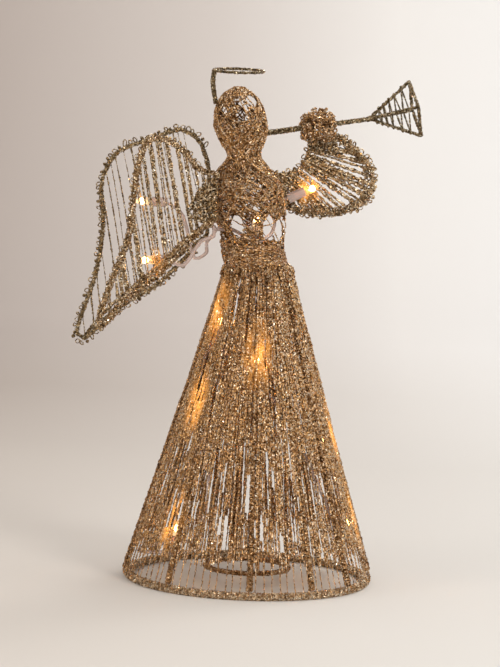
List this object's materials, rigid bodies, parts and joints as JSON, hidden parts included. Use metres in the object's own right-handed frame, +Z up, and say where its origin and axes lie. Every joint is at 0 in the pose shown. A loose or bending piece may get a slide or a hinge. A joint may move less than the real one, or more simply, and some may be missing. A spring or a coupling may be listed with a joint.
{
  "type": "christmas tree topper",
  "caption": "Wire angel tree topper with a wound cone skirt, woven bodice and head, looped wings, one raised sleeve, a trumpet, a halo and small push-in lamps.",
  "frame": {"origin": "middle of the hem, on the plane that the skirt stands on", "axes": "+Z up the figure, +X the way the figure faces and blows its trumpet, +Y towards its own left"},
  "size_m": [0.2039, 0.15, 0.308],
  "materials": {
    "gold_glitter": "gold glitter coat",
    "dark_gold": "dark gold glitter coat",
    "pale_gold": "pale gold metallic thread",
    "clear_cord": "clear pinkish insulation",
    "warm_glass": "clear, warm white"
  },
  "bodies": {
    "topper": {"hem_ring": "gold_glitter", "waist_ring": "dark_gold", "skirt_rib_1": "dark_gold", "skirt_rib_2": "dark_gold", "skirt_rib_3": "dark_gold", "skirt_rib_4": "dark_gold", "skirt_rib_5": "dark_gold", "skirt_rib_6": "dark_gold", "skirt_rib_7": "dark_gold", "skirt_rib_8": "dark_gold", "skirt_rib_9": "dark_gold", "skirt_winding_1": "gold_glitter", "skirt_winding_2": "gold_glitter", "skirt_winding_3": "gold_glitter", "skirt_winding_4": "gold_glitter", "skirt_winding_5": "gold_glitter", "skirt_winding_6": "gold_glitter", "skirt_winding_7": "gold_glitter", "skirt_winding_8": "gold_glitter", "skirt_winding_9": "gold_glitter", "tree_socket": "dark_gold", "waist_wrap": "gold_glitter", "bodice": "gold_glitter", "head": "gold_glitter", "halo": "gold_glitter", "trumpet_tube": "gold_glitter", "trumpet_bell_frame": "gold_glitter", "trumpet_bell_winding": "pale_gold", "hand_ruffle": "pale_gold", "sleeve_frame": "gold_glitter", "sleeve_strands": "pale_gold", "sleeve_loops": "pale_gold", "left_wing_tie_lower": "dark_gold", "left_wing_tie_upper": "dark_gold", "right_wing_tie_lower": "dark_gold", "right_wing_tie_upper": "dark_gold", "skirt_lamp_wire": "clear_cord", "upper_lamp_wire": "clear_cord"},
    "left_wing": {"left_wing_frame": "gold_glitter", "left_wing_strands": "pale_gold", "left_wing_loops": "pale_gold", "left_wing_rib": "dark_gold", "left_wing_lamp_wire": "clear_cord"},
    "right_wing": {"right_wing_frame": "gold_glitter", "right_wing_strands": "pale_gold", "right_wing_loops": "pale_gold", "right_wing_rib": "dark_gold", "right_wing_lamp_wire": "clear_cord"},
    "lamp_1_body": {"lamp_1": "warm_glass"},
    "lamp_2_body": {"lamp_2": "warm_glass"},
    "lamp_3_body": {"lamp_3": "warm_glass"},
    "lamp_4_body": {"lamp_4": "warm_glass"},
    "lamp_5_body": {"lamp_5": "warm_glass"},
    "lamp_6_body": {"lamp_6": "warm_glass"},
    "lamp_7_body": {"lamp_7": "warm_glass"},
    "lamp_8_body": {"lamp_8": "warm_glass"},
    "lamp_9_body": {"lamp_9": "warm_glass"},
    "lamp_10_body": {"lamp_10": "warm_glass"}
  },
  "joints": [
    {"name": "left_wing_hinge", "type": "hinge", "parent": "topper", "child": "left_wing", "pos_m": [-0.03043, 0.008, 0.2], "axis": [0, 0, -1], "range_deg": [-12, 25]},
    {"name": "right_wing_hinge", "type": "hinge", "parent": "topper", "child": "right_wing", "pos_m": [-0.03043, -0.008, 0.2], "axis": [0, 0, 1], "range_deg": [-12, 25]},
    {"name": "lamp_1_pull", "type": "slide", "parent": "left_wing", "child": "lamp_1_body", "axis": [-0.9397, 0.342, 0], "range_m": [0, 0.008]},
    {"name": "lamp_2_pull", "type": "slide", "parent": "right_wing", "child": "lamp_2_body", "axis": [-0.9397, -0.342, 0], "range_m": [0, 0.008]},
    {"name": "lamp_3_pull", "type": "slide", "parent": "topper", "child": "lamp_3_body", "axis": [0.2514, 0.1451, 0.957], "range_m": [0, 0.008]},
    {"name": "lamp_4_pull", "type": "slide", "parent": "topper", "child": "lamp_4_body", "axis": [0.2672, 0.1134, 0.957], "range_m": [0, 0.008]},
    {"name": "lamp_5_pull", "type": "slide", "parent": "topper", "child": "lamp_5_body", "axis": [0.2839, 0.0603, 0.957], "range_m": [0, 0.008]},
    {"name": "lamp_6_pull", "type": "slide", "parent": "topper", "child": "lamp_6_body", "axis": [0.0603, 0.2839, 0.957], "range_m": [0, 0.008]},
    {"name": "lamp_7_pull", "type": "slide", "parent": "topper", "child": "lamp_7_body", "axis": [-0.271, 0.104, 0.957], "range_m": [0, 0.008]},
    {"name": "lamp_8_pull", "type": "slide", "parent": "topper", "child": "lamp_8_body", "axis": [-0.2691, 0.1087, 0.957], "range_m": [0, 0.008]},
    {"name": "lamp_9_pull", "type": "slide", "parent": "topper", "child": "lamp_9_body", "axis": [0, 0, 1], "range_m": [0, 0.008]},
    {"name": "lamp_10_pull", "type": "slide", "parent": "topper", "child": "lamp_10_body", "axis": [0.8693, -0.2329, 0.436], "range_m": [0, 0.008]}
  ]
}
